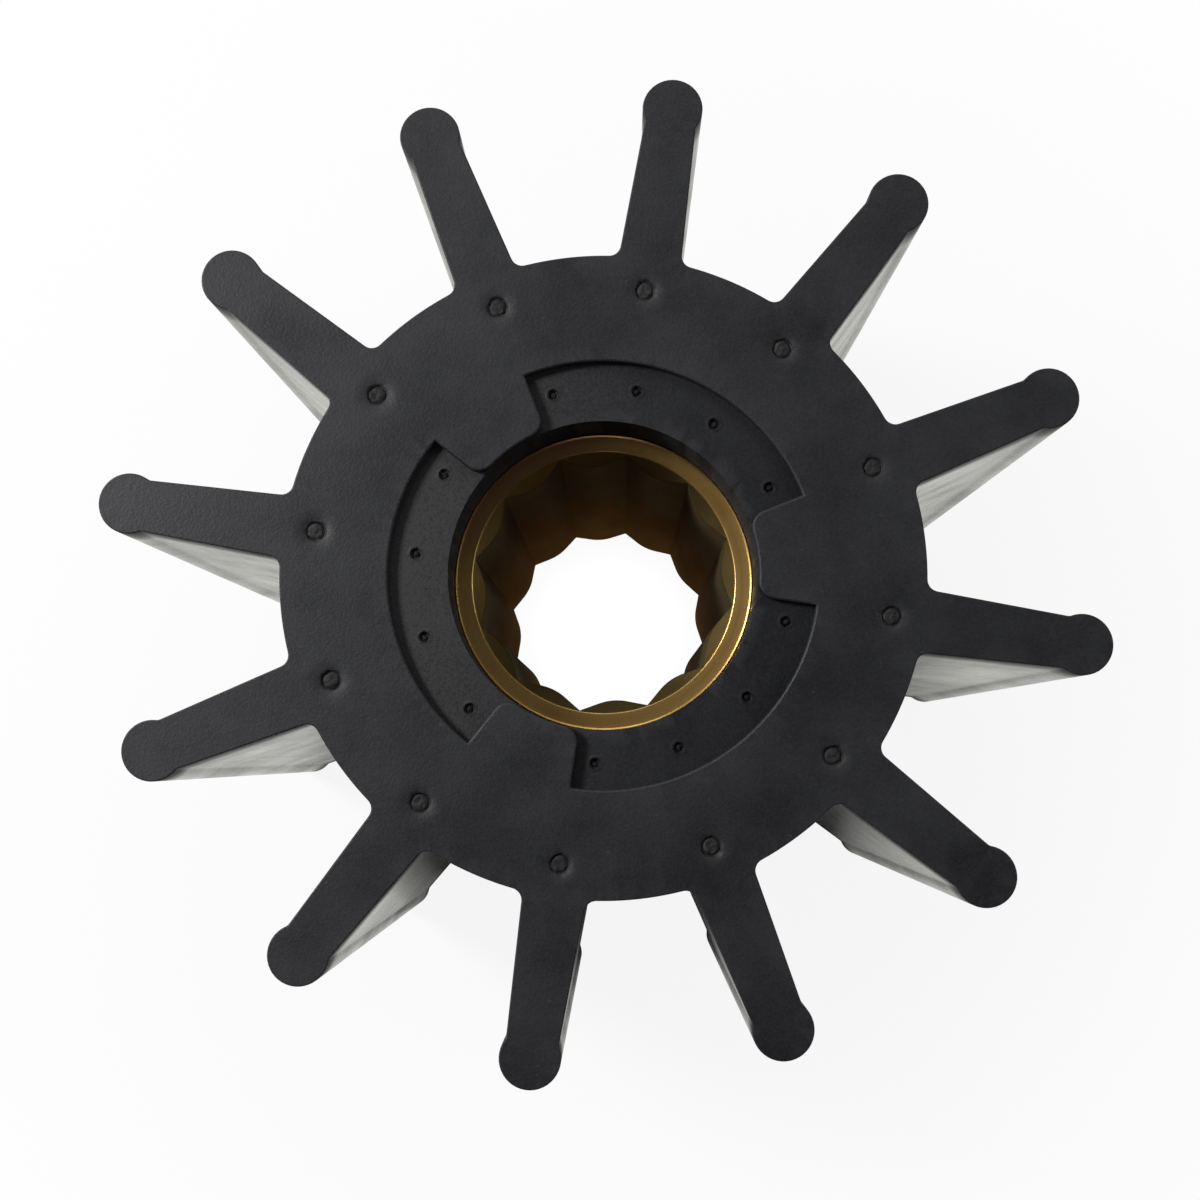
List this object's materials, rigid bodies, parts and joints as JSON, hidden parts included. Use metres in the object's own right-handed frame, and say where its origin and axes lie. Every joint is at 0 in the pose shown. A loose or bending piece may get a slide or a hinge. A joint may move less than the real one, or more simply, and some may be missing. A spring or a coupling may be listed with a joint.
{
  "type": "flexible vane pump impeller",
  "caption": "Flexible vane pump impeller: a black rubber hub with straight radial vanes and beaded tips, moulded round a brass bush with a lobed spline bore for the pump shaft.",
  "frame": {"origin": "centre of the rear end face, on the shaft axis", "axes": "+Z along the shaft axis towards the front end face, the one with the moulding marks; +X along the middle of a vane"},
  "size_m": [0.0952, 0.0952, 0.088],
  "materials": {
    "black_rubber": "matt moulded rubber with a fine grain",
    "bush_brass": "turned end faces and broached lobes, slightly tarnished"
  },
  "bodies": {
    "root": {"rubber_impeller": "black_rubber", "splined_bush": "bush_brass"}
  },
  "joints": []
}
